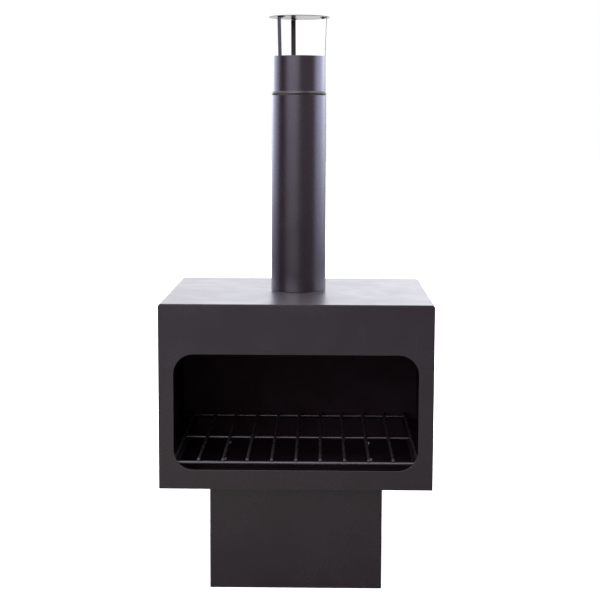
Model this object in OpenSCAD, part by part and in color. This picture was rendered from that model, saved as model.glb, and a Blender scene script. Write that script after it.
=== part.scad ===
// Sheet-steel garden chiminea: a wide firebox with an open, round-cornered mouth stands on a
// narrower pedestal, and carries a round flue with a lift-off cowl and flat rain disc.
// The origin is on the ground under the middle of the firebox. The mouth faces -Y, +Z is up.

/* [Firebox] */
// Width of the firebox, left to right
box_w = 600; // [480:10:720]
// Depth of the firebox, front to back
box_d = 550; // [440:10:640]
// Height of the firebox
box_h = 409; // [340:1:500]
// Thickness of the firebox and pedestal sheet
sheet = 2; // [1.5:0.5:3]
// Outer radius of the two upper side bends
bend_r = 7; // [4:0.5:12]

/* [Mouth] */
// Front panel left at each side of the mouth
mouth_side = 33; // [20:1:60]
// Front panel left below the mouth
mouth_sill = 43; // [30:1:60]
// Front panel left above the mouth
mouth_lintel = 110; // [80:1:140]
// Corner radius of the mouth
mouth_r = 44; // [15:1:60]

/* [Pedestal] */
// Height of the pedestal
ped_h = 235; // [150:1:320]
// Width of the pedestal
ped_w = 383; // [300:1:440]
// How far the pedestal stands back from the firebox at front and rear
ped_setback = 40; // [20:1:70]

/* [Flue] */
// Outer diameter of the lower flue
flue_d = 127; // [100:1:150]
// Wall of the flue tubes
flue_wall = 1.2; // [0.8:0.1:2]
// Height of the flue joint above the firebox
joint_h = 453; // [300:1:600]
// How far each flue joint overlaps
flue_lap = 55; // [40:1:80]
// Gap between the sliding walls of a flue joint
flue_gap = 0.3; // [0.2:0.05:0.6]

/* [Cowl] */
// Height of the cowl sleeve above the flue joint
sleeve_h = 89; // [60:1:130]
// Height of the clear gap under the rain disc
cowl_gap = 88; // [60:1:120]
// Diameter of the rain disc
disc_d = 141; // [110:1:170]
// Thickness of the rain disc and its straps
disc_t = 1.2; // [1:0.1:2]
// Width of each strap
strap_w = 11; // [8:0.5:14]
// How far each strap leans out between the sleeve and the disc
strap_lean = 3; // [0:0.5:6]
// Turn of the right strap about the flue, from +X towards +Y
strap_turn = -4; // [-60:1:60]

/* [Grate] */
// Diameter of the grate rods
rod_d = 7; // [5:0.5:8]
// Number of bars that run front to back
bar_count = 11; // [7:2:13]
// Distance between neighbouring bars
bar_pitch = 53.4; // [36:0.2:54]
// Height of the ledges above the firebox floor
ledge_h = 53; // [40:1:60]

/* [Hidden] */
$fn = 96;
eps = 1;

// Firebox levels and half sizes
floor_z = ped_h;
floor_top = floor_z + sheet;
roof_z = ped_h + box_h;
roof_under = roof_z - sheet;
half_w = box_w / 2;
half_d = box_d / 2;
inner_w = box_w - 2 * sheet;
inner_d = box_d - 2 * sheet;
mouth_w = box_w - 2 * mouth_side;
mouth_h = box_h - mouth_sill - mouth_lintel;

// Flue radii, from the outside in
flue_r = flue_d / 2;
flue_bore_r = flue_r - flue_wall;
sleeve_r = flue_bore_r - flue_gap;
sleeve_bore_r = sleeve_r - flue_wall;
spigot_weld = 2.3;
flange_r = sleeve_r + 13;

// Flue levels
flue_foot = roof_z + spigot_weld + 0.2;
joint_z = roof_z + joint_h;
bead_rise = 1.8;
bead_half_h = 4.3;
bead_arc_r = (bead_half_h * bead_half_h + bead_rise * bead_rise) / (2 * bead_rise);
bead_z = joint_z + 0.3 + bead_half_h;
sleeve_top = joint_z + sleeve_h;
disc_z = sleeve_top + cowl_gap;

// Cowl straps and rivets: the right, rear and left straps, not quite evenly spaced
strap_turns = [strap_turn, strap_turn + 108, strap_turn + 228];
strap_root_r = sleeve_bore_r - 0.3;
strap_root_h = 42;
strap_tab = 15;
rivet_r = 2;
rivet_head_r = 3.6;
rivet_inset = 9;
rivet_ring_r = strap_root_r + strap_lean - rivet_inset;
rivet_tail_r = 3.2;
rivet_tail_h = 2;

// Grate
ledge_w = 40;
ledge_drop = 22;
ledge_inset = 20;
grate_clear = 0.3;
rod_r = rod_d / 2;
cross_sink = 0.3;
cross_z = floor_z + ledge_h + grate_clear + rod_r;
bar_z = cross_z + rod_d - cross_sink;
cross_half = bar_pitch * (bar_count - 1) / 2 + rod_r + 2;
cross_front_y = -half_d + sheet + 13;
bar_half = -cross_front_y + rod_r + 1;

// Pedestal
ped_half_w = ped_w / 2;
ped_d = box_d - 2 * ped_setback;
ped_half_d = ped_d / 2;
flange_w = 28;
hem_w = 22;

// M6 bolts that hold the firebox on the pedestal
bolt_x = ped_half_w - sheet - flange_w / 2 - 2;
bolt_y = ped_half_d - 55;
bolt_hole_r = 3.3;
bolt_r = 3;
bolt_len = 16;
bolt_head_af = 10;
bolt_head_h = 4;
nut_h = 5;
washer_r = 6;
washer_t = 1.6;

paint = [0.17, 0.15, 0.16];
paint_dark = [0.11, 0.10, 0.11];
bare_rod = [0.22, 0.21, 0.22];
zinc = [0.66, 0.67, 0.68];

// Rectangle standing on the X axis with both upper corners rounded
module arched_rect(w, h, r) {
    translate([-w / 2, 0]) square([w, h - r]);
    translate([-w / 2 + r, 0]) square([w - 2 * r, h]);
    for (side = [-1, 1])
        translate([side * (w / 2 - r), h - r]) circle(r);
}

// Rectangle standing on the X axis with all four corners rounded
module round_rect(w, h, r) {
    translate([-w / 2, r]) square([w, h - 2 * r]);
    translate([-w / 2 + r, 0]) square([w - 2 * r, h]);
    for (side = [-1, 1], level = [r, h - r])
        translate([side * (w / 2 - r), level]) circle(r);
}

// Extrudes an X-Z outline towards -Y, from y_back forwards by depth
module upright(y_back, depth) {
    translate([0, y_back, 0]) rotate([90, 0, 0]) linear_extrude(depth) children();
}

// A tube whose wall outline is given as points of radius and height
module turned(points) {
    rotate_extrude() polygon(points);
}

// Puts children at each of the bolts through the pedestal's top flanges
module at_bolts() {
    for (x = [-bolt_x, bolt_x], y = [-bolt_y, 0, bolt_y])
        translate([x, y, 0]) children();
}

// One sheet bent into the left side, the roof and the right side
module firebox_wrap() {
    color(paint)
    difference() {
        translate([0, 0, floor_z])
        upright(half_d, box_d)
        difference() {
            arched_rect(box_w, box_h, bend_r);
            translate([0, -eps]) arched_rect(inner_w, box_h - sheet + eps, bend_r - sheet);
        }
        translate([0, 0, roof_under - eps])
        cylinder(h = sheet + 2 * eps, r = sleeve_r + 0.3);
    }
}

module end_panel_outline() {
    arched_rect(inner_w, box_h - sheet, bend_r - sheet);
}

module front_panel() {
    color(paint)
    translate([0, 0, floor_z])
    upright(-half_d + sheet, sheet)
    difference() {
        end_panel_outline();
        translate([0, mouth_sill]) round_rect(mouth_w, mouth_h, mouth_r);
    }
}

module back_panel() {
    color(paint)
    translate([0, 0, floor_z])
    upright(half_d, sheet)
    end_panel_outline();
}

module floor_panel() {
    color(paint_dark)
    difference() {
        translate([-inner_w / 2, -inner_d / 2, floor_z]) cube([inner_w, inner_d, sheet]);
        at_bolts()
        translate([0, 0, floor_z - eps]) cylinder(h = sheet + 2 * eps, r = bolt_hole_r);
    }
}

// Short collar through the roof: a flange under it, a weld fillet on it, and a tube above it
module flue_spigot() {
    color(paint_dark)
    turned([
        [sleeve_bore_r, roof_under - sheet],
        [flange_r, roof_under - sheet],
        [flange_r, roof_under],
        [sleeve_r, roof_under],
        [sleeve_r, roof_z],
        [flue_r, roof_z],
        [sleeve_r, roof_z + spigot_weld],
        [sleeve_r, roof_z + flue_lap],
        [sleeve_bore_r, roof_z + flue_lap]
    ]);
}

// Angle strip on one side wall; side is -1 for left and 1 for right
module grate_ledge(side) {
    length = inner_d - 2 * ledge_inset;
    top = floor_z + ledge_h;
    wall_x = inner_w / 2;
    color(paint_dark)
    upright(length / 2, length)
    scale([side, 1])
    polygon([
        [wall_x, top],
        [wall_x - ledge_w, top],
        [wall_x - ledge_w, top - sheet],
        [wall_x - sheet, top - sheet],
        [wall_x - sheet, top - ledge_drop],
        [wall_x, top - ledge_drop]
    ]);
}

// Front and both sides of the pedestal in one sheet, with the edges turned in at top and foot
module pedestal_wrap() {
    color(paint)
    difference() {
        translate([-ped_half_w, -ped_half_d, 0]) cube([ped_w, ped_d, ped_h]);
        translate([-ped_half_w + sheet, -ped_half_d + sheet, sheet])
        cube([ped_w - 2 * sheet, ped_d, ped_h - 2 * sheet]);
        translate([-ped_half_w + flange_w, -ped_half_d + flange_w, ped_h / 2])
        cube([ped_w - 2 * flange_w, ped_d, ped_h]);
        translate([-ped_half_w + hem_w, -ped_half_d + hem_w, -eps])
        cube([ped_w - 2 * hem_w, ped_d, ped_h / 2]);
        at_bolts()
        translate([0, 0, ped_h - sheet - eps]) cylinder(h = sheet + 2 * eps, r = bolt_hole_r);
    }
}

// Rear sheet between the pedestal's sides, with its own turned-in edges at top and foot
module pedestal_back() {
    side_x = ped_half_w - sheet;
    hem_x = ped_half_w - hem_w;
    flange_x = ped_half_w - flange_w;
    color(paint)
    union() {
        translate([-side_x, ped_half_d - sheet, sheet])
        cube([2 * side_x, sheet, ped_h - 2 * sheet]);
        translate([-hem_x, ped_half_d - hem_w, 0])
        cube([2 * hem_x, hem_w, sheet]);
        translate([-flange_x, ped_half_d - flange_w, ped_h - sheet])
        cube([2 * flange_x, flange_w, sheet]);
    }
}

// Hexagon bolts, heads inside the firebox
module pedestal_bolts() {
    color(zinc)
    at_bolts()
    translate([0, 0, floor_top + washer_t])
    union() {
        cylinder(h = bolt_head_h, r = bolt_head_af / sqrt(3), $fn = 6);
        translate([0, 0, -bolt_len]) cylinder(h = bolt_len + eps, r = bolt_r);
    }
}

// One washer under each head and one above each nut
module pedestal_washers() {
    color(zinc)
    at_bolts()
    for (z = [floor_top, ped_h - sheet - washer_t])
        translate([0, 0, z])
        difference() {
            cylinder(h = washer_t, r = washer_r);
            translate([0, 0, -eps]) cylinder(h = washer_t + 2 * eps, r = bolt_hole_r);
        }
}

module pedestal_nuts() {
    color(zinc)
    at_bolts()
    translate([0, 0, ped_h - sheet - washer_t - nut_h])
    difference() {
        cylinder(h = nut_h, r = bolt_head_af / sqrt(3), $fn = 6);
        translate([0, 0, -eps]) cylinder(h = nut_h + 2 * eps, r = bolt_r + 0.05);
    }
}

module lower_flue() {
    color(paint)
    turned([
        [flue_bore_r, flue_foot],
        [flue_r, flue_foot],
        [flue_r, joint_z],
        [flue_bore_r, joint_z]
    ]);
}

// Narrower tube whose rolled bead stops it on the lower flue's rim
module cowl_sleeve() {
    color(paint)
    union() {
        turned([
            [sleeve_bore_r, joint_z - flue_lap],
            [sleeve_r, joint_z - flue_lap],
            [sleeve_r, sleeve_top],
            [sleeve_bore_r, sleeve_top]
        ]);
        rotate_extrude()
        translate([sleeve_r, bead_z])
        intersection() {
            translate([bead_rise - bead_arc_r, 0]) circle(bead_arc_r, $fn = 96);
            translate([-flue_wall / 2, -bead_half_h])
            square([bead_rise + flue_wall, 2 * bead_half_h]);
        }
    }
}

module rain_disc() {
    color(paint)
    difference() {
        translate([0, 0, disc_z]) cylinder(h = disc_t, r = disc_d / 2);
        for (turn = strap_turns)
            rotate(turn)
            translate([rivet_ring_r, 0, disc_z - eps])
            cylinder(h = disc_t + 2 * eps, r = rivet_r + 0.05);
    }
}

// Flat strap: upright inside the sleeve, leaning out to the disc, then a tab turned in under it
module cowl_strap(turn) {
    root = strap_root_r;
    tip = strap_root_r + strap_lean;
    color(paint_dark)
    rotate(turn)
    difference() {
        upright(strap_w / 2, strap_w)
        polygon([
            [root - disc_t, sleeve_top - strap_root_h],
            [root, sleeve_top - strap_root_h],
            [root, sleeve_top],
            [tip, disc_z],
            [tip - strap_tab, disc_z],
            [tip - strap_tab, disc_z - disc_t],
            [tip - disc_t, disc_z - disc_t],
            [root - disc_t, sleeve_top]
        ]);
        translate([tip - rivet_inset, 0, disc_z - disc_t - eps])
        cylinder(h = disc_t + 2 * eps, r = rivet_r + 0.05);
    }
}

// Dome-headed rivets through the disc and the strap tabs
module disc_rivets() {
    head_h = 1.8;
    shank_foot = -disc_t - rivet_tail_h;
    dome_r = (rivet_head_r * rivet_head_r + head_h * head_h) / (2 * head_h);
    color(zinc)
    for (turn = strap_turns)
        rotate(turn)
        translate([rivet_ring_r, 0, disc_z])
        union() {
            translate([0, 0, shank_foot]) cylinder(h = rivet_tail_h, r = rivet_tail_r);
            translate([0, 0, shank_foot]) cylinder(h = rivet_tail_h + 2 * disc_t + eps, r = rivet_r);
            translate([0, 0, disc_t])
            intersection() {
                translate([0, 0, head_h - dome_r]) sphere(dome_r);
                cylinder(h = head_h + eps, r = rivet_head_r);
            }
        }
}

// Rod across the grate, left to right
module cross_rod(y) {
    color(bare_rod)
    translate([-cross_half, y, cross_z]) rotate([0, 90, 0]) cylinder(h = 2 * cross_half, r = rod_r);
}

// Rod that runs front to back on top of the cross rods
module grate_bar(index) {
    x = (index - (bar_count + 1) / 2) * bar_pitch;
    color(bare_rod)
    translate([x, bar_half, bar_z]) rotate([90, 0, 0]) cylinder(h = 2 * bar_half, r = rod_r);
}

firebox_wrap();
front_panel();
back_panel();
floor_panel();
flue_spigot();
grate_ledge(-1);  // left_grate_ledge
grate_ledge(1);  // right_grate_ledge
pedestal_wrap();
pedestal_back();
pedestal_bolts();
pedestal_washers();
pedestal_nuts();
lower_flue();
cowl_sleeve();
rain_disc();
cowl_strap(strap_turns[0]);  // right_strap
cowl_strap(strap_turns[1]);  // rear_strap
cowl_strap(strap_turns[2]);  // left_strap
disc_rivets();
cross_rod(cross_front_y);  // grate_front_rod
cross_rod(0);  // grate_middle_rod
cross_rod(-cross_front_y);  // grate_rear_rod
for (i = [1 : bar_count])
    grate_bar(i);
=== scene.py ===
"""Looks of the sheet-steel garden chiminea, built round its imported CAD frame."""

import math
import random

import bpy
import bmesh
from mathutils import Matrix, Vector


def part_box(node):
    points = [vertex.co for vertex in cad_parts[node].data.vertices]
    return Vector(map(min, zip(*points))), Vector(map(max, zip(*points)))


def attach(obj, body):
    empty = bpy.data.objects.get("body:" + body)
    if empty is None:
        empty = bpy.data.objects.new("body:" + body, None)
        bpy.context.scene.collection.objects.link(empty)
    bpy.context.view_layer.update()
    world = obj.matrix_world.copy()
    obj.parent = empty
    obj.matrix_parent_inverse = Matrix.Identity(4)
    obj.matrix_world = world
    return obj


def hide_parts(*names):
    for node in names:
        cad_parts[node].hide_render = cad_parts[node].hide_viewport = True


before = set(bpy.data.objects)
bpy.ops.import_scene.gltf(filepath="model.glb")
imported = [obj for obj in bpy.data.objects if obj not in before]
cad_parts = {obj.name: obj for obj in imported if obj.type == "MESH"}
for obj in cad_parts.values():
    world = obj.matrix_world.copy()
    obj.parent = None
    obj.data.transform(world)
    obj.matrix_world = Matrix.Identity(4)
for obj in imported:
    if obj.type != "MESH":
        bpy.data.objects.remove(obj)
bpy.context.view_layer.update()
MM = 0.001
rng = random.Random(7)

# ---------------------------------------------------------------- sizes, from the frame
wrap_lo, wrap_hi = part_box("firebox_wrap")
panel_lo, panel_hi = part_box("front_panel")
ped_lo, ped_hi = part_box("pedestal_wrap")
flue_lo, flue_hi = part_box("lower_flue")
sleeve_lo, sleeve_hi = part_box("cowl_sleeve")
disc_lo, disc_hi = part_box("rain_disc")
spigot_lo, spigot_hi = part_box("flue_spigot")

SHEET = panel_hi.y - panel_lo.y
HALF_W = wrap_hi.x
HALF_D = wrap_hi.y
FLOOR_Z = wrap_lo.z
ROOF_Z = wrap_hi.z
INNER_W = 2 * (HALF_W - SHEET)
BEND_R = 7 * MM

# The mouth's margins from the firebox's outside, and its corners
MOUTH_SIDE = 33 * MM
MOUTH_SILL = 43 * MM
MOUTH_LINTEL = 110 * MM
MOUTH_R = 44 * MM

PED_HALF_W = ped_hi.x
PED_HALF_D = ped_hi.y
PED_H = ped_hi.z
PED_BEND_R = 3 * MM
TOP_FLANGE = 28 * MM
FOOT_HEM = 22 * MM
BOLT_HOLE_R = 3.3 * MM

FLUE_R = flue_hi.x
WALL = 1.2 * MM
GAP = 0.3 * MM
SLEEVE_R = FLUE_R - WALL - GAP
BEAD_RISE = sleeve_hi.x - SLEEVE_R
BEAD_HALF_H = 4.3 * MM
BEAD_Z = flue_hi.z + GAP + BEAD_HALF_H
STRAP_TURNS = {"right_strap": -4, "rear_strap": 104, "left_strap": 224}
STRAP_T = 1.2 * MM
STRAP_ROOT_R = SLEEVE_R - WALL - GAP
STRAP_LEAN = 3 * MM

# Softness of the sheets' cut edges
RIM_SHELL = 0.45 * MM
RIM_PLATE = 0.4 * MM
RIM_PEDESTAL = 0.35 * MM
RIM_HIDDEN = 0.3 * MM
RIM_STRAP = 0.22 * MM


# ---------------------------------------------------------------- mesh helpers
def finish_mesh(name, mesh, sharp_deg=32):
    """Makes an object of a mesh, smooth-shaded with flat faces kept flat."""
    mesh.name = name
    piece = bpy.data.objects.new(name, mesh)
    bpy.context.scene.collection.objects.link(piece)
    for polygon in mesh.polygons:
        polygon.use_smooth = True
    mesh.set_sharp_from_angle(angle=math.radians(sharp_deg))
    weighted = piece.modifiers.new("even_shading", "WEIGHTED_NORMAL")
    weighted.keep_sharp = True
    weighted.weight = 100
    return piece


def mesh_of(bm):
    """A mesh with its faces outward, from a bmesh that is then let go."""
    mesh = bpy.data.meshes.new("made")
    bmesh.ops.recalc_face_normals(bm, faces=bm.faces)
    bm.to_mesh(mesh)
    bm.free()
    return mesh


def evaluated(obj):
    """The object's mesh with its modifiers and curve settings applied; the object goes."""
    graph = bpy.context.evaluated_depsgraph_get()
    mesh = bpy.data.meshes.new_from_object(obj.evaluated_get(graph))
    bpy.data.objects.remove(obj)
    return mesh


def profile_mesh(loops, depth, bevel, matrix):
    """A closed 2D outline, holes as further loops, given depth along local Z with soft rims."""
    curve = bpy.data.curves.new("outline", "CURVE")
    curve.dimensions = "2D"
    curve.fill_mode = "BOTH"
    curve.extrude = depth / 2 - bevel
    curve.bevel_depth = bevel
    curve.bevel_resolution = 2
    curve.offset = -bevel
    for loop in loops:
        spline = curve.splines.new("POLY")
        spline.points.add(len(loop) - 1)
        for point, (x, y) in zip(spline.points, loop):
            point.co = (x, y, 0, 1)
        spline.use_cyclic_u = True
    holder = bpy.data.objects.new("outline", curve)
    bpy.context.scene.collection.objects.link(holder)
    mesh = evaluated(holder)
    bpy.data.curves.remove(curve)
    mesh.transform(matrix)
    if matrix.determinant() < 0:
        mesh.flip_normals()
    return mesh


def joined(meshes):
    """One mesh of several."""
    bm = bmesh.new()
    for mesh in meshes:
        bm.from_mesh(mesh)
        bpy.data.meshes.remove(mesh)
    made = bpy.data.meshes.new("made")
    bmesh.ops.remove_doubles(bm, verts=bm.verts, dist=1e-6)
    bm.to_mesh(made)
    bm.free()
    return made


def standing(y_middle):
    """Puts a local XY outline into the X-Z plane, its depth along Y, centred on y_middle."""
    return Matrix.Translation((0, y_middle, 0)) @ Matrix.Rotation(math.radians(90), 4, "X")


def level(z_middle):
    """Puts a local XY outline at a height, its depth along Z, centred on z_middle."""
    return Matrix.Translation((0, 0, z_middle))


def arc(cx, cy, r, start_deg, end_deg, steps=10):
    """Points of an arc round (cx, cy), both ends included."""
    degrees = [start_deg + (end_deg - start_deg) * i / steps for i in range(steps + 1)]
    angles = [math.radians(a) for a in degrees]
    return [(cx + r * math.cos(a), cy + r * math.sin(a)) for a in angles]


def arched(half_w, low, high, r, steps=10):
    """Rectangle outline with both upper corners rounded."""
    return [(-half_w, low), (half_w, low),
            *arc(half_w - r, high - r, r, 0, 90, steps),
            *arc(r - half_w, high - r, r, 90, 180, steps)]


def rounded(half_w, low, high, r, steps=16):
    """Rectangle outline with four rounded corners."""
    return [*arc(half_w - r, high - r, r, 0, 90, steps),
            *arc(r - half_w, high - r, r, 90, 180, steps),
            *arc(r - half_w, low + r, r, 180, 270, steps),
            *arc(half_w - r, low + r, r, 270, 360, steps)]


def turns(steps):
    """Evenly spaced angles of one full turn."""
    return [2 * math.pi * i / steps for i in range(steps)]


def circle(cx, cy, r, steps=32):
    """Points of a full circle."""
    return [(cx + r * math.cos(a), cy + r * math.sin(a)) for a in turns(steps)]


def lathe_mesh(profile, steps=160):
    """A closed outline of (radius, height) turned about the Z axis."""
    bm = bmesh.new()
    rings = [[bm.verts.new((r * math.cos(a), r * math.sin(a), z)) for r, z in profile]
             for a in turns(steps)]
    count = len(profile)
    for i in range(steps):
        here, there = rings[i], rings[(i + 1) % steps]
        for j in range(count):
            k = (j + 1) % count
            bm.faces.new((here[j], there[j], there[k], here[k]))
    return mesh_of(bm)


def spindle_mesh(profile, steps=32):
    """An open outline of (radius, height) that starts and ends on the axis, turned about Z."""
    bm = bmesh.new()
    bottom = bm.verts.new((0, 0, profile[0][1]))
    top = bm.verts.new((0, 0, profile[-1][1]))
    rings = []
    for r, z in profile[1:-1]:
        rings.append([bm.verts.new((r * math.cos(a), r * math.sin(a), z)) for a in turns(steps)])
    for i in range(steps):
        k = (i + 1) % steps
        bm.faces.new((bottom, rings[0][k], rings[0][i]))
        bm.faces.new((top, rings[-1][i], rings[-1][k]))
        for low, high in zip(rings, rings[1:]):
            bm.faces.new((low[i], low[k], high[k], high[i]))
    return mesh_of(bm)


def tube_profile(inner_r, outer_r, low, high, soft=0.45 * MM):
    """Wall section of a tube with rounded rims."""
    return [*arc(outer_r - soft, low + soft, soft, 270, 360, 4),
            *arc(outer_r - soft, high - soft, soft, 0, 90, 4),
            *arc(inner_r + soft, high - soft, soft, 90, 180, 4),
            *arc(inner_r + soft, low + soft, soft, 180, 270, 4)]


def bead_mesh(points, radius, pitch=2.2 * MM, sides=10, closed=False):
    """A rippled weld bead along a line of points."""
    bm = bmesh.new()
    rings = []
    count = len(points)
    travelled = 0.0
    for i, p in enumerate(points):
        before = points[i - 1] if closed or i > 0 else points[i]
        after = points[(i + 1) % count] if closed or i < count - 1 else points[i]
        along = (after - before).normalized()
        side = along.orthogonal().normalized()
        if closed:
            side = Vector((0, 0, 1))
        up = along.cross(side).normalized()
        if i > 0:
            travelled += (p - points[i - 1]).length
        ripple = 1 + 0.13 * abs(math.sin(math.pi * travelled / pitch)) + rng.uniform(-0.03, 0.03)
        taper = 1.0 if closed else min(1.0, 0.35 + 0.33 * min(i, count - 1 - i))
        r = radius * ripple * taper
        rings.append([bm.verts.new(p + side * (r * math.cos(a)) + up * (r * math.sin(a)))
                      for a in turns(sides)])
    last = count if closed else count - 1
    for i in range(last):
        here, there = rings[i], rings[(i + 1) % count]
        for j in range(sides):
            k = (j + 1) % sides
            bm.faces.new((here[j], here[k], there[k], there[j]))
    if not closed:
        bm.faces.new(rings[0])
        bm.faces.new(rings[-1])
    return mesh_of(bm)


def line(start, end, step=0.7 * MM):
    """Points along a straight line, about a step apart."""
    start, end = Vector(start), Vector(end)
    count = max(4, round((end - start).length / step))
    return [start.lerp(end, i / count) for i in range(count + 1)]


def stitches(start, end, length=24 * MM, gap=72 * MM, radius=1.7 * MM):
    """Weld stitches, evenly spaced along an inside corner."""
    start, end = Vector(start), Vector(end)
    run = (end - start).length
    along = (end - start) / run
    count = max(1, int((run + gap) / (length + gap)))
    spare = (run - count * length) / (count + 1)
    made = []
    for i in range(count):
        a = spare + i * (length + spare)
        made.append(bead_mesh(line(start + along * a, start + along * (a + length)), radius))
    return made


def in_firebox(point):
    """True inside the firebox's middle surface, where smoke and soot reach."""
    half = SHEET / 2
    return (abs(point.x) < HALF_W - half and abs(point.y) < HALF_D - half
            and FLOOR_Z + half < point.z < ROOF_Z - half)


def piece(name, mesh, body, slot, material, replaces=(), sharp_deg=32, sooty=False):
    """A finished piece; a sooty one gets the inner paint on its faces inside the firebox."""
    made = finish_mesh(name, mesh, sharp_deg)
    made.data.materials.clear()
    made.data.materials.append(material)
    if sooty:
        made.data.materials.append(INNER)
        for polygon in made.data.polygons:
            polygon.material_index = int(in_firebox(polygon.center))
    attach(made, body)
    if replaces:
        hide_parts(*replaces)
    return made


# ---------------------------------------------------------------- materials
class Graph:
    """Short names for building one node tree."""

    def __init__(self, tree):
        self.tree = tree
        tree.nodes.clear()

    def node(self, kind, inputs=None, **settings):
        made = self.tree.nodes.new(kind)
        for key, value in settings.items():
            setattr(made, key, value)
        for key, value in (inputs or {}).items():
            socket = made.inputs[key]
            if isinstance(value, bpy.types.NodeSocket):
                self.tree.links.new(value, socket)
            else:
                socket.default_value = value
        return made

    def math(self, operation, a, b=0.0):
        return self.node("ShaderNodeMath", {0: a, 1: b}, operation=operation).outputs[0]

    def noise(self, vector, scale, detail=3.0, roughness=0.5):
        made = self.node("ShaderNodeTexNoise", {"Vector": vector, "Scale": scale, "Detail": detail,
                                                "Roughness": roughness})
        return made.outputs[0]

    def ramp(self, value, low, high, to_low=0.0, to_high=1.0):
        return self.node("ShaderNodeMapRange", {0: value, 1: low, 2: high, 3: to_low, 4: to_high},
                         interpolation_type="SMOOTHSTEP").outputs[0]

    def mix(self, factor, a, b):
        made = self.node("ShaderNodeMix", {0: factor, 6: a, 7: b}, data_type="RGBA")
        return made.outputs[2]


def paint_material(name, base, smudge, rough_low, rough_high, peel=0.035, wave=0.05, specks=0.30,
                   gloss=0.5, dust=0.35):
    """Semi-gloss black stove paint: faint mottling, smudges, orange peel and settled dust."""
    material = bpy.data.materials.new(name)
    material.use_nodes = True
    g = Graph(material.node_tree)
    place = g.node("ShaderNodeTexCoord").outputs["Object"]

    # Colour: broad clouds and fine mottling, with sparse specks
    cloud = g.noise(place, 5.5, 4.0, 0.6)
    mottle = g.noise(place, 38.0, 5.0, 0.65)
    cells = g.node("ShaderNodeTexVoronoi", {"Vector": place, "Scale": 95.0})
    chosen = g.node("ShaderNodeSeparateColor", {0: cells.outputs["Color"]}).outputs[0]
    speck_on = g.math("MULTIPLY", g.ramp(cells.outputs["Distance"], 0.075, 0.04),
                      g.math("GREATER_THAN", chosen, 0.90))
    tone = g.math("ADD", g.math("MULTIPLY", cloud, 0.6), g.math("MULTIPLY", mottle, 0.4))
    colour = g.mix(g.ramp(tone, 0.36, 0.66), (*base, 1), (*smudge, 1))
    speckled = g.mix(g.math("MULTIPLY", speck_on, specks), colour, (0.06, 0.056, 0.058, 1))

    # Dust settled on the faces that look up
    facing = g.node("ShaderNodeNewGeometry").outputs["Normal"]
    upward = g.ramp(g.node("ShaderNodeSeparateXYZ", {0: facing}).outputs[2], 0.60, 0.98)
    settled = g.math("MULTIPLY", upward, g.ramp(tone, 0.34, 0.62, 0.72 * dust, dust))
    dusty = g.mix(settled, speckled, (0.085, 0.078, 0.086, 1))

    # Gloss: smudged, and dulled by the dust
    streak = g.noise(place, 17.0, 3.0, 0.5)
    smudges = g.math("ADD", g.math("MULTIPLY", cloud, 0.5), g.math("MULTIPLY", streak, 0.5))
    matt = g.ramp(smudges, 0.38, 0.62, rough_low, rough_high)
    rough = g.math("ADD", matt, g.math("MULTIPLY", settled, 0.20))

    # Relief: orange peel, and the slow swell of thin sheet
    fine = g.noise(place, 900.0, 2.0, 0.5)
    peel_height = g.noise(place, 330.0, 2.0, 0.5)
    swell = g.noise(place, 7.0, 1.5, 0.4)
    height = g.math("ADD", g.math("MULTIPLY", peel_height, 0.75), g.math("MULTIPLY", fine, 0.25))
    small = g.node("ShaderNodeBump", {"Strength": peel, "Distance": 0.0006, "Height": height})
    large = g.node("ShaderNodeBump", {"Strength": wave, "Distance": 0.0030, "Height": swell,
                                      "Normal": small.outputs[0]})
    shader = g.node("ShaderNodeBsdfPrincipled", {"Base Color": dusty, "Roughness": rough,
                                                 "Normal": large.outputs[0]})
    shader.inputs["IOR"].default_value = 1.5
    shader.inputs["Specular IOR Level"].default_value = gloss
    g.node("ShaderNodeOutputMaterial", {"Surface": shader.outputs[0]})
    return material


def zinc_material():
    """Zinc plating: fine spangle and slightly yellow passivation."""
    material = bpy.data.materials.new("zinc_plate")
    material.use_nodes = True
    g = Graph(material.node_tree)
    place = g.node("ShaderNodeTexCoord").outputs["Object"]
    cloud = g.noise(place, 160.0, 4.0, 0.6)
    colour = g.mix(g.ramp(cloud, 0.35, 0.65), (0.16, 0.155, 0.15, 1), (0.25, 0.235, 0.21, 1))
    rough = g.ramp(g.noise(place, 700.0, 3.0), 0.3, 0.7, 0.42, 0.60)
    bump = g.node("ShaderNodeBump", {"Strength": 0.15, "Distance": 0.0002,
                                     "Height": g.noise(place, 1500.0, 2.0)})
    shader = g.node("ShaderNodeBsdfPrincipled", {"Base Color": colour, "Roughness": rough,
                                                 "Normal": bump.outputs[0]})
    shader.inputs["Metallic"].default_value = 1.0
    g.node("ShaderNodeOutputMaterial", {"Surface": shader.outputs[0]})
    return material


PAINT = paint_material("stove_paint", (0.0047, 0.0015, 0.0040), (0.0058, 0.0022, 0.0051),
                       0.25, 0.28)
INNER = paint_material("inner_paint", (0.0066, 0.0019, 0.0029), (0.0100, 0.0034, 0.0048),
                       0.70, 0.86, peel=0.12, specks=0.1, gloss=0.15, dust=0.0)
ROD = paint_material("rod_paint", (0.0120, 0.0100, 0.0115), (0.0190, 0.0170, 0.0180),
                     0.20, 0.30, peel=0.10, wave=0.10, dust=0.15)
ZINC = zinc_material()
RIVET = paint_material("rivet_paint", (0.0140, 0.0110, 0.0130), (0.0210, 0.0180, 0.0200),
                       0.26, 0.36)


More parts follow.
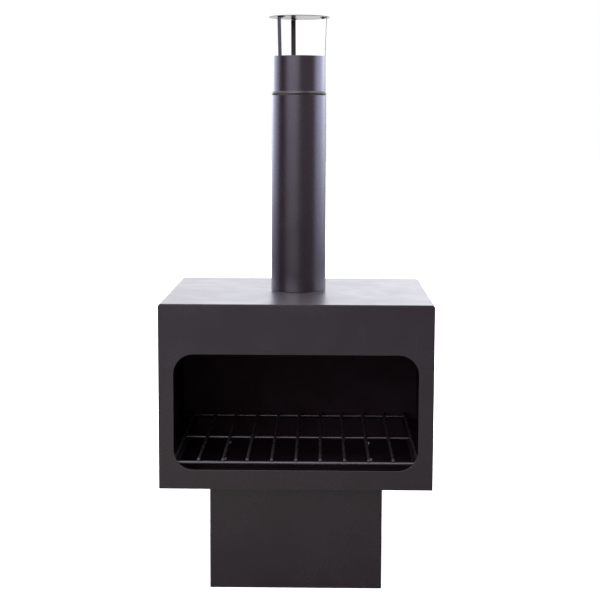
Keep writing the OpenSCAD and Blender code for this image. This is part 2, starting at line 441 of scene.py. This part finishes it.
# ---------------------------------------------------------------- firebox
def firebox_shell():
    """Left side, roof and right side in one bent sheet."""
    outer, inner = BEND_R, BEND_R - SHEET
    low, high = FLOOR_Z, ROOF_Z
    nick = 0.5 * MM
    outline = [(HALF_W - nick, low), (HALF_W, low + nick),
               *arc(HALF_W - outer, high - outer, outer, 0, 90),
               *arc(outer - HALF_W, high - outer, outer, 90, 180),
               (-HALF_W, low + nick), (-HALF_W + nick, low),
               (-HALF_W + SHEET - nick, low), (-HALF_W + SHEET, low + nick),
               *arc(-HALF_W + SHEET + inner, high - SHEET - inner, inner, 180, 90),
               *arc(HALF_W - SHEET - inner, high - SHEET - inner, inner, 90, 0),
               (HALF_W - SHEET, low + nick), (HALF_W - SHEET + nick, low)]
    mesh = profile_mesh([outline], 2 * HALF_D, RIM_SHELL, standing(0))
    shell = bpy.data.objects.new("shell_blank", mesh)
    hole_r, reach = SLEEVE_R + GAP, 20 * MM
    plug = [(0, ROOF_Z - reach), (hole_r, ROOF_Z - reach), (hole_r, ROOF_Z + reach),
            (0, ROOF_Z + reach)]
    cutter = bpy.data.objects.new("shell_cutter", spindle_mesh(plug, 128))
    for made in (shell, cutter):
        bpy.context.scene.collection.objects.link(made)
    hole = shell.modifiers.new("hole", "BOOLEAN")
    hole.operation = "DIFFERENCE"
    hole.solver = "EXACT"
    hole.object = cutter
    cut = evaluated(shell)
    bpy.data.objects.remove(cutter)
    return piece("firebox_shell", cut, "stove", "paint", PAINT, ["firebox_wrap"], sooty=True)


def end_plates():
    """Front plate with the mouth, and plain rear plate."""
    half = INNER_W / 2
    outline = arched(half, FLOOR_Z, ROOF_Z - SHEET, BEND_R - SHEET)
    mouth = rounded(HALF_W - MOUTH_SIDE, FLOOR_Z + MOUTH_SILL, ROOF_Z - MOUTH_LINTEL, MOUTH_R)
    front = profile_mesh([outline, mouth], SHEET, RIM_PLATE, standing(-HALF_D + SHEET / 2))
    piece("front_plate", front, "stove", "paint", PAINT, ["front_panel"], sooty=True)
    rear = profile_mesh([outline], SHEET, RIM_PLATE, standing(HALF_D - SHEET / 2))
    piece("rear_plate", rear, "stove", "paint", PAINT, ["back_panel"], sooty=True)


def bolt_places():
    """Middles of the six bolts, three along each side's flange."""
    x = PED_HALF_W - SHEET - TOP_FLANGE / 2 - 2 * MM
    y = PED_HALF_D - 55 * MM
    return [(sx, sy) for sx in (-x, x) for sy in (-y, 0, y)]


def hearth_plate():
    """Firebox floor with its bolt holes."""
    half_w, half_d = INNER_W / 2, HALF_D - SHEET
    outline = [(-half_w, -half_d), (half_w, -half_d), (half_w, half_d), (-half_w, half_d)]
    holes = [circle(x, y, BOLT_HOLE_R, 24) for x, y in bolt_places()]
    plate = profile_mesh([outline, *holes], SHEET, RIM_HIDDEN, level(FLOOR_Z + SHEET / 2))
    piece("hearth_plate", plate, "stove", "soot_paint", INNER, ["floor_panel"])


def grate_ledges():
    """Bent angle strips with weld stitches along the side walls."""
    bend = 3 * MM
    for side, name in ((-1, "left"), (1, "right")):
        node = f"{name}_grate_ledge"
        lo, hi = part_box(node)
        width, drop = hi.x - lo.x, hi.z - lo.z
        outline = [(0, hi.z - drop), (0, hi.z - bend),
                   *arc(-bend, hi.z - bend, bend, 0, 90, 6),
                   (-width, hi.z), (-width, hi.z - SHEET), (-bend, hi.z - SHEET),
                   *arc(-bend, hi.z - bend, bend - SHEET, 90, 0, 6),
                   (-SHEET, hi.z - drop)]
        wall = side * INNER_W / 2
        outline = [(wall + side * x, z) for x, z in outline]
        strip = profile_mesh([outline], hi.y - lo.y, RIM_HIDDEN, standing(0))
        piece(f"{name}_ledge", strip, "stove", "soot_paint", INNER, [node])
        foot = hi.z - drop
        welds = stitches((wall, lo.y, foot), (wall, hi.y, foot), 20 * MM, 70 * MM)
        piece(f"{name}_ledge_welds", joined(welds), "stove", "soot_paint", INNER)


def firebox_welds():
    """Weld stitches in the inside corners of the firebox."""
    x = INNER_W / 2
    y = HALF_D - SHEET
    low, high = FLOOR_Z + SHEET, ROOF_Z - SHEET
    clear = 14 * MM
    runs = []
    for sy in (-1, 1):
        for sx in (-1, 1):
            runs.append(((sx * x, sy * y, low + clear), (sx * x, sy * y, high - clear)))
        runs.append(((-x + clear, sy * y, high), (x - clear, sy * y, high)))
        runs.append(((-x + clear, sy * y, low), (x - clear, sy * y, low)))
    for sx in (-1, 1):
        runs.append(((sx * x, -y + clear, low), (sx * x, y - clear, low)))
    welds = [bead for start, end in runs for bead in stitches(start, end)]
    piece("firebox_welds", joined(welds), "stove", "soot_paint", INNER)


def spigot():
    """Collar through the roof with its flange below and a weld bead above."""
    low, high = spigot_lo.z, spigot_hi.z
    bore, flange_r = SLEEVE_R - WALL, spigot_hi.x
    under = ROOF_Z - SHEET
    soft = 0.4 * MM
    profile = [(bore, low), (flange_r - soft, low), (flange_r, low + soft),
               (flange_r, under), (SLEEVE_R, under), (SLEEVE_R, high - soft),
               *arc(SLEEVE_R - soft, high - soft, soft, 0, 90, 4),
               *arc(bore + soft, high - soft, soft, 90, 180, 4)]
    piece("spigot_collar", lathe_mesh(profile), "stove", "soot_paint", INNER, ["flue_spigot"])
    weld_r, weld_z = 1.15 * MM, ROOF_Z + 0.2 * MM
    ring = [Vector((x, y, weld_z)) for x, y in circle(0, 0, SLEEVE_R + 0.25 * MM, 560)]
    piece("spigot_weld", bead_mesh(ring, weld_r, closed=True), "stove", "paint", PAINT)


# ---------------------------------------------------------------- pedestal
def u_plan(half_w, front, back, r, thickness):
    """Plan outline of a sheet bent round the front and both sides."""
    inner = max(r - thickness, 0.5 * MM)
    left, right = -half_w + thickness, half_w - thickness
    inside = front + thickness
    return [(-half_w, back), *arc(-half_w + r, front + r, r, 180, 270, 6),
            *arc(half_w - r, front + r, r, 270, 360, 6), (half_w, back),
            (right, back), *arc(right - inner, inside + inner, inner, 360, 270, 6),
            *arc(left + inner, inside + inner, inner, 270, 180, 6), (left, back)]


def u_rim(width, r):
    """Plan outline of the edge turned in along the front and both sides."""
    x, y, back = PED_HALF_W, -PED_HALF_D, PED_HALF_D
    return [(-x, back), *arc(-x + r, y + r, r, 180, 270, 6), *arc(x - r, y + r, r, 270, 360, 6),
            (x, back), (x - width, back), (x - width, y + width), (-x + width, y + width),
            (-x + width, back)]


def pedestal():
    """Bent front and sides with their turned-in edges, and the rear sheet welded in."""
    r = PED_BEND_R
    plan = u_plan(PED_HALF_W, -PED_HALF_D, PED_HALF_D, r, SHEET)
    wall = profile_mesh([plan], PED_H, RIM_PEDESTAL, level(PED_H / 2))
    holes = [circle(x, y, BOLT_HOLE_R, 24) for x, y in bolt_places()]
    top_plan, foot_plan = [u_rim(TOP_FLANGE, r), *holes], [u_rim(FOOT_HEM, r)]
    top = profile_mesh(top_plan, SHEET, RIM_HIDDEN, level(PED_H - SHEET / 2))
    foot = profile_mesh(foot_plan, SHEET, RIM_HIDDEN, level(SHEET / 2))
    piece("pedestal_shell", joined([wall, top, foot]), "stove", "paint", PAINT, ["pedestal_wrap"])
    inset = PED_HALF_W - SHEET
    plate = [(-inset, SHEET), (inset, SHEET), (inset, PED_H - SHEET), (-inset, PED_H - SHEET)]
    parts = [profile_mesh([plate], SHEET, RIM_PEDESTAL, standing(PED_HALF_D - SHEET / 2))]
    for width, z in ((FOOT_HEM, SHEET / 2), (TOP_FLANGE, PED_H - SHEET / 2)):
        x, near, far = PED_HALF_W - width, PED_HALF_D - width, PED_HALF_D
        strip = [(-x, near), (x, near), (x, far), (-x, far)]
        parts.append(profile_mesh([strip], SHEET, RIM_HIDDEN, level(z)))
    piece("pedestal_rear", joined(parts), "stove", "paint", PAINT, ["pedestal_back"])
    corner_x, corner_y, clear = PED_HALF_W - SHEET, PED_HALF_D - SHEET, 20 * MM
    welds = []
    for x in (-corner_x, corner_x):
        welds += stitches((x, corner_y, clear), (x, corner_y, PED_H - clear), 20 * MM, 60 * MM)
    piece("pedestal_welds", joined(welds), "stove", "soot_paint", INNER)


# ---------------------------------------------------------------- bolts, washers and nuts
def hexagon_mesh(across_flats, low, high, chamfer_top, chamfer_low):
    """A hexagon prism with the corners turned off, as on a bolt head or nut."""
    corner = across_flats / math.sqrt(3)
    chamfer_h = 0.75 * MM
    count = 6 * 12
    bm = bmesh.new()
    loops = []
    for cap, z in ((chamfer_low, low), (1.0, low + chamfer_h), (1.0, high - chamfer_h),
                   (chamfer_top, high)):
        ring = []
        for a in turns(count):
            flat = math.cos(math.pi / 6) / math.cos((a % (math.pi / 3)) - math.pi / 6)
            r = corner * min(flat, cap)
            ring.append(bm.verts.new((r * math.cos(a), r * math.sin(a), z)))
        loops.append(ring)
    for low_ring, high_ring in zip(loops, loops[1:]):
        for i in range(count):
            k = (i + 1) % count
            bm.faces.new((low_ring[i], low_ring[k], high_ring[k], high_ring[i]))
    bm.faces.new(loops[0])
    bm.faces.new(loops[-1])
    return mesh_of(bm)


def thread_mesh(core_r, outer_r, low, high, pitch=1.0 * MM, sides=24):
    """A plain helical thread."""
    bm = bmesh.new()
    rows = max(8, round((high - low) / pitch * 6))
    rings = []
    for j in range(rows + 1):
        z = low + (high - low) * j / rows
        fade = min(1.0, (rows - j) / 4, j / 4)
        ring = []
        for i in range(sides):
            phase = (z / pitch - i / sides) % 1.0
            r = core_r + (outer_r - core_r) * (1 - abs(2 * phase - 1)) * fade
            a = 2 * math.pi * i / sides
            ring.append(bm.verts.new((r * math.cos(a), r * math.sin(a), z)))
        rings.append(ring)
    for low_ring, high_ring in zip(rings, rings[1:]):
        for i in range(sides):
            k = (i + 1) % sides
            bm.faces.new((low_ring[i], low_ring[k], high_ring[k], high_ring[i]))
    bm.faces.new(rings[0])
    bm.faces.new(rings[-1])
    return mesh_of(bm)


def copies(make, places):
    """One mesh of the same thing made at several places, each at its own chance turn."""
    made = []
    for x, y in places:
        mesh = make()
        mesh.transform(Matrix.Translation((x, y, 0)) @ Matrix.Rotation(rng.uniform(0, 1), 4, "Z"))
        made.append(mesh)
    return joined(made)


def fasteners():
    """Six M6 bolts, each with a nut and two washers."""
    bolt_lo, bolt_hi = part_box("pedestal_bolts")
    nut_lo, nut_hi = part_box("pedestal_nuts")
    washer_lo, washer_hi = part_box("pedestal_washers")
    across_flats, head_h = 10 * MM, 4 * MM
    washer_r, washer_t = 6 * MM, 1.6 * MM
    core_r, shank_r = 2.5 * MM, 3 * MM
    places = bolt_places()

    def bolt():
        under = bolt_hi.z - head_h
        head = hexagon_mesh(across_flats, under, bolt_hi.z, 0.84, 0.97)
        shank = thread_mesh(core_r, shank_r, bolt_lo.z, under + 0.2 * MM)
        return joined([head, shank])

    def nut():
        return hexagon_mesh(across_flats, nut_lo.z, nut_hi.z, 0.86, 0.86)

    def washers():
        return joined([lathe_mesh(tube_profile(BOLT_HOLE_R, washer_r, z, z + washer_t, 0.25 * MM), 40)
                       for z in (washer_lo.z, washer_hi.z - washer_t)])

    piece("hex_bolts", copies(bolt, places), "stove", "zinc", ZINC, ["pedestal_bolts"], 28)
    piece("hex_nuts", copies(nut, places), "stove", "zinc", ZINC, ["pedestal_nuts"], 28)
    piece("flat_washers", copies(washers, places), "stove", "zinc", ZINC, ["pedestal_washers"], 40)


# ---------------------------------------------------------------- flue and cowl
def seam_mesh(radius, low, high):
    """Fine butt-weld line up the back of a rolled tube."""
    y = radius - 0.45 * MM
    return bead_mesh(line((0, y, low), (0, y, high), 1.4 * MM), 0.85 * MM, 3.0 * MM, 8)


def flue():
    """Lower flue tube with its seam."""
    low, high = flue_lo.z, flue_hi.z
    tube = lathe_mesh(tube_profile(FLUE_R - WALL, FLUE_R, low, high), 192)
    piece("flue_tube", tube, "flue", "paint", PAINT, ["lower_flue"])
    piece("flue_seam", seam_mesh(FLUE_R, low + MM, high - MM), "flue", "paint", PAINT)


def cowl_sleeve():
    """Sleeve with a hollow bead rolled out of its wall."""
    low, high = sleeve_lo.z, sleeve_hi.z
    inner, outer = SLEEVE_R - WALL, SLEEVE_R
    soft = 0.45 * MM

    def rolled(r, rise, half_h):
        """Wall line of the bead, bulging out of the radius r."""
        rows = 18
        wall = []
        for i in range(rows + 1):
            t = -1 + 2 * i / rows
            swell = (0.5 + 0.5 * math.cos(math.pi * t)) ** 0.85
            wall.append((r + rise * swell, BEAD_Z + t * half_h))
        return wall

    outside = rolled(outer, BEAD_RISE, BEAD_HALF_H + 0.2 * MM)
    inside = rolled(inner, BEAD_RISE * 0.9, BEAD_HALF_H)
    profile = [*arc(outer - soft, low + soft, soft, 270, 360, 4), *outside,
               *arc(outer - soft, high - soft, soft, 0, 90, 4),
               *arc(inner + soft, high - soft, soft, 90, 180, 4), *reversed(inside),
               *arc(inner + soft, low + soft, soft, 180, 270, 4)]
    piece("sleeve_tube", lathe_mesh(profile, 192), "cowl", "paint", PAINT, ["cowl_sleeve"])
    seam = seam_mesh(outer, BEAD_Z + BEAD_HALF_H + 2 * MM, high - MM)
    piece("sleeve_seam", seam, "cowl", "paint", PAINT)


def rounded_path(points, radii, steps=6):
    """A polyline with its inner corners turned into arcs."""
    made = [Vector(points[0])]
    for i in range(1, len(points) - 1):
        p, a, b = Vector(points[i]), Vector(points[i - 1]), Vector(points[i + 1])
        to_a, to_b = (a - p).normalized(), (b - p).normalized()
        half = to_a.angle(to_b) / 2
        reach = radii[i - 1] / math.tan(half)
        centre = p + (to_a + to_b).normalized() * (radii[i - 1] / math.sin(half))
        start, end = p + to_a * reach - centre, p + to_b * reach - centre
        sweep = start.angle_signed(end)
        for j in range(steps + 1):
            made.append(centre + Matrix.Rotation(-sweep * j / steps, 2) @ start)
    made.append(Vector(points[-1]))
    return made


def ribbon(path, thickness):
    """Closed outline of a strip of that thickness along a path."""
    left, right = [], []
    for i, p in enumerate(path):
        along = (path[min(i + 1, len(path) - 1)] - path[max(i - 1, 0)]).normalized()
        across = Vector((-along.y, along.x)) * (thickness / 2)
        left.append(p + across)
        right.append(p - across)
    return [tuple(p) for p in left + right[::-1]]


def cowl_straps():
    """Flat straps from inside the sleeve to tabs under the disc."""
    width, tail, tab = 11 * MM, 42 * MM, 15 * MM
    root_x, tip_r = STRAP_ROOT_R - STRAP_T / 2, STRAP_ROOT_R + STRAP_LEAN
    top, under = sleeve_hi.z, disc_lo.z - STRAP_T / 2
    points = [(root_x, top - tail), (root_x, top), (tip_r - STRAP_T / 2, under), (tip_r - tab, under)]
    outline = ribbon(rounded_path(points, [40 * MM, 1.6 * MM]), STRAP_T)
    for node, turn in STRAP_TURNS.items():
        place = Matrix.Rotation(math.radians(turn), 4, "Z") @ standing(0)
        strap = profile_mesh([outline], width, RIM_STRAP, place)
        piece(node.replace("strap", "cowl_strap"), strap, "cowl", "paint", PAINT, [node])


def rain_cap():
    """Flat disc with a rounded rim."""
    radius, low, high = disc_hi.x, disc_lo.z, disc_hi.z
    soft = 0.45 * (high - low)
    flat = radius - soft
    rim = [*arc(flat, low + soft, soft, 270, 360, 5), *arc(flat, high - soft, soft, 0, 90, 5)]
    rings = [0.15, 0.35, 0.6, 0.85]
    profile = [(0, low), *[(flat * s, low) for s in rings], *rim,
               *[(flat * s, high) for s in reversed(rings)], (0, high)]
    piece("cap_disc", spindle_mesh(profile, 160), "cowl", "paint", PAINT, ["rain_disc"])


def rivets():
    """Domed heads above the disc, set tails under the strap tabs."""
    top, under = disc_hi.z, disc_lo.z - STRAP_T
    ring_r = STRAP_ROOT_R + STRAP_LEAN - 9 * MM
    head_r, head_h, shank_r = 3.6 * MM, 1.8 * MM, 2 * MM
    tail_r, tail_h, soft = 3.2 * MM, 2 * MM, 0.5 * MM
    dome_r = (head_r ** 2 + head_h ** 2) / (2 * head_h)
    open_deg = math.degrees(math.asin(head_r / dome_r))
    dome = arc(0, top + head_h - dome_r, dome_r, 90 - open_deg, 88, 8)
    profile = [(0, under - tail_h), (tail_r - soft, under - tail_h),
               (tail_r, under - tail_h + soft), (tail_r, under), (shank_r, under), (shank_r, top),
               (head_r - 0.05 * MM, top), *dome, (0, top + head_h)]
    made = []
    for turn in STRAP_TURNS.values():
        mesh = spindle_mesh(profile, 28)
        place = Matrix.Rotation(math.radians(turn), 4, "Z") @ Matrix.Translation((ring_r, 0, 0))
        mesh.transform(place)
        made.append(mesh)
    piece("cap_rivets", joined(made), "cowl", "rivet", RIVET, ["disc_rivets"])


# ---------------------------------------------------------------- grate
def rod_mesh(start, end, radius):
    """A cut rod with softened ends, between two points."""
    start, end = Vector(start), Vector(end)
    length = (end - start).length
    soft = 0.7 * MM
    rows = 24
    nick = soft * 0.3
    profile = [(0, 0), (radius - soft, 0), (radius - nick, nick)]
    profile += [(radius, soft + (length - 2 * soft) * i / rows) for i in range(rows + 1)]
    profile += [(radius - nick, length - nick), (radius - soft, length), (0, length)]
    mesh = spindle_mesh(profile, 24)
    turn = Vector((0, 0, 1)).rotation_difference((end - start).normalized()).to_matrix().to_4x4()
    mesh.transform(Matrix.Translation(start) @ turn)
    return mesh


def blob_mesh(centre, size):
    """A small uneven resistance-weld blob."""
    bm = bmesh.new()
    bmesh.ops.create_icosphere(bm, subdivisions=2, radius=1.0)
    for v in bm.verts:
        v.co *= 1 + rng.uniform(-0.06, 0.06)
    bmesh.ops.scale(bm, vec=size, verts=bm.verts)
    bmesh.ops.translate(bm, vec=centre, verts=bm.verts)
    return mesh_of(bm)


def grate():
    """Three cross rods, eleven bars on them, and the weld spots between."""
    cross_nodes = ["grate_front_rod", "grate_middle_rod", "grate_rear_rod"]
    bar_nodes = [f"grate_bar_{i}" for i in range(1, 12)]
    cross, bars = [], []
    for node in cross_nodes:
        lo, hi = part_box(node)
        mid = (lo + hi) / 2
        r = (hi.z - lo.z) / 2
        cross.append(mid)
        rod = rod_mesh((lo.x, mid.y, mid.z), (hi.x, mid.y, mid.z), r)
        piece(node.replace("grate_", "grate_cross_"), rod, "grate", "rod", ROD, [node])
    for node in bar_nodes:
        lo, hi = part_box(node)
        mid = (lo + hi) / 2
        r = (hi.z - lo.z) / 2
        bars.append(mid)
        rod = rod_mesh((mid.x, lo.y, mid.z), (mid.x, hi.y, mid.z), r)
        piece(node.replace("grate_bar", "grate_rod"), rod, "grate", "rod", ROD, [node])
    blobs = []
    for c in cross:
        for b in bars:
            for side in (-1, 1):
                spot = Vector((b.x + side * 1.5 * MM, c.y, (c.z + b.z) / 2))
                blobs.append(blob_mesh(spot, Vector((1.5 * MM, 1.9 * MM, 0.9 * MM))))
    piece("grate_welds", joined(blobs), "grate", "rod", ROD)


firebox_shell()
end_plates()
hearth_plate()
grate_ledges()
firebox_welds()
spigot()
pedestal()
fasteners()
flue()
cowl_sleeve()
cowl_straps()
rain_cap()
rivets()
grate()


# ---------------------------------------------------------------- studio
def floor():
    """Plain pale floor, a little lit from within so that it stays white."""
    mesh = bpy.data.meshes.new("studio_floor")
    half = 40.0
    mesh.from_pydata([(-half, -half, 0), (half, -half, 0), (half, half, 0), (-half, half, 0)], [],
                     [(0, 1, 2, 3)])
    ground = bpy.data.objects.new("studio_floor", mesh)
    bpy.context.scene.collection.objects.link(ground)
    material = bpy.data.materials.new("pale_floor")
    material.use_nodes = True
    shader = material.node_tree.nodes["Principled BSDF"]
    shader.inputs["Base Color"].default_value = (0.9, 0.9, 0.9, 1)
    shader.inputs["Roughness"].default_value = 1.0
    shader.inputs["Specular IOR Level"].default_value = 0.0
    shader.inputs["Emission Color"].default_value = (1, 1, 1, 1)
    shader.inputs["Emission Strength"].default_value = 0.45
    mesh.materials.append(material)
    ground.visible_glossy = False


def studio_light():
    """Soft white studio all round: bright behind and to both sides, dim low down in front."""
    world = bpy.data.worlds.new("studio")
    bpy.context.scene.world = world
    world.use_nodes = True
    g = Graph(world.node_tree)
    direction = g.node("ShaderNodeTexCoord").outputs["Generated"]
    parts = g.node("ShaderNodeSeparateXYZ", {0: direction})
    x, y, z = parts.outputs

    def towards(azimuth):
        """Cosine of the turn between a direction's plan and an azimuth from the front, + right."""
        a = math.radians(azimuth)
        dot = g.math("ADD", g.math("MULTIPLY", x, math.sin(a)), g.math("MULTIPLY", y, -math.cos(a)))
        plan = g.math("SQRT", g.math("ADD", g.math("MULTIPLY", x, x), g.math("MULTIPLY", y, y)))
        return g.math("DIVIDE", dot, g.math("ADD", plan, 0.001))

    def lobe(azimuth, outer_deg, inner_deg, strength, heights):
        """Light from round an azimuth: full to inner_deg off it, none past outer_deg."""
        outer, inner = math.cos(math.radians(outer_deg)), math.cos(math.radians(inner_deg))
        across = g.ramp(towards(azimuth), outer, inner)
        return g.math("MULTIPLY", g.math("MULTIPLY", across, heights), strength)

    def band(start, full, fade, gone):
        """Full between two heights of the sky, and none below start or above gone."""
        return g.math("MULTIPLY", g.ramp(z, start, full), g.ramp(z, gone, fade))

    flank = band(-0.095, 0.075, 0.07, 0.20)
    side = band(-0.095, 0.095, 0.15, 0.42)
    front = band(-0.065, 0.105, 0.35, 0.80)
    high_front = band(0.12, 0.40, 0.80, 0.97)
    high_side = band(0.20, 0.42, 0.75, 0.97)
    low_front = band(-0.272, -0.235, -0.235, -0.16)
    low_behind = g.math("MULTIPLY", g.ramp(z, -0.5, -0.15), g.math("SUBTRACT", 1.0, side))
    low_round = g.ramp(z, -0.15, -0.30)
    fill = g.ramp(z, -0.22, 0.0)
    glow = g.math("MULTIPLY", g.ramp(z, -0.32, 0.27), 0.41)
    floor_shine = g.math("MULTIPLY", g.ramp(z, -0.42, -0.70), 0.7)
    blue, cool, warm = (0.94, 0.955, 1.29), (0.965, 0.985, 1.07), (1.0, 0.98, 0.96)

    # Lit screens to both sides, in front and behind, then what the floor and walls send back
    sources = [(lobe(106, 44, 10, 9.4, flank), blue),
               (lobe(-125, 41, 8, 5.7, flank), blue),
               (lobe(45, 50, 10, 0.45, fill), (1.05, 0.9, 1.0)),
               (lobe(-27, 38, 4, 4.6, front), (0.96, 0.91, 1.13)),
               (lobe(180, 64, 20, 2.05, side), cool),
               (lobe(-75, 62, 20, 1.05, low_round), warm),
               (lobe(140, 100, 35, 0.62, low_round), warm),
               (lobe(180, 36, 14, 1.34, low_behind), (0.98, 0.98, 0.98)),
               (lobe(150, 40, 10, 0.40, side), cool),
               (lobe(-27, 50, 5, 2.6, low_front), (0.98, 1.10, 0.80)),
               (lobe(-24, 52, 8, 2.6, high_front), cool),
               (lobe(98, 52, 20, 2.6, high_side), cool),
               (lobe(-112, 52, 20, 1.8, high_side), cool),
               (floor_shine, warm),
               (g.ramp(z, 0.45, 0.85), (0.90, 0.89, 0.91))]
    total = g.node("ShaderNodeVectorMath", {0: (1.0, 0.94, 1.02), "Scale": glow},
                   operation="SCALE").outputs[0]
    for strength, tint in sources:
        tinted = g.node("ShaderNodeVectorMath", {0: tint, "Scale": strength},
                        operation="SCALE").outputs[0]
        total = g.node("ShaderNodeVectorMath", {0: total, 1: tinted}, operation="ADD").outputs[0]
    seen = g.node("ShaderNodeLightPath").outputs["Is Camera Ray"]
    lit = g.node("ShaderNodeBackground", {"Color": total, "Strength": 1.0})
    plain = g.node("ShaderNodeBackground", {"Color": (1, 1, 1, 1), "Strength": 1.0})
    both = g.node("ShaderNodeMixShader", {0: seen, 1: lit.outputs[0], 2: plain.outputs[0]})
    g.node("ShaderNodeOutputWorld", {"Surface": both.outputs[0]})


def camera():
    """Where the object is seen from: a little right of its middle, looking slightly down."""
    eye = Vector((0.0549, -HALF_D - 3.069, 1.024))
    yaw, pitch, roll = (math.radians(a) for a in (-0.875, 6.87, 0.22))
    data = bpy.data.cameras.new("camera")
    data.lens = 86.0
    data.sensor_width = 36.0
    data.clip_end = 200.0
    made = bpy.data.objects.new("camera", data)
    bpy.context.scene.collection.objects.link(made)
    reach = math.cos(pitch)
    ahead = Vector((math.sin(yaw) * reach, math.cos(yaw) * reach, -math.sin(pitch)))
    right = Vector((math.cos(yaw), -math.sin(yaw), 0))
    up = right.cross(ahead)
    tilted_right = right * math.cos(roll) + up * math.sin(roll)
    tilted_up = up * math.cos(roll) - right * math.sin(roll)
    axes = Matrix((tilted_right, tilted_up, -ahead)).transposed().to_4x4()
    made.matrix_world = Matrix.Translation(eye) @ axes
    bpy.context.scene.camera = made


floor()
studio_light()
camera()
bpy.context.scene.view_settings.view_transform = "Standard"
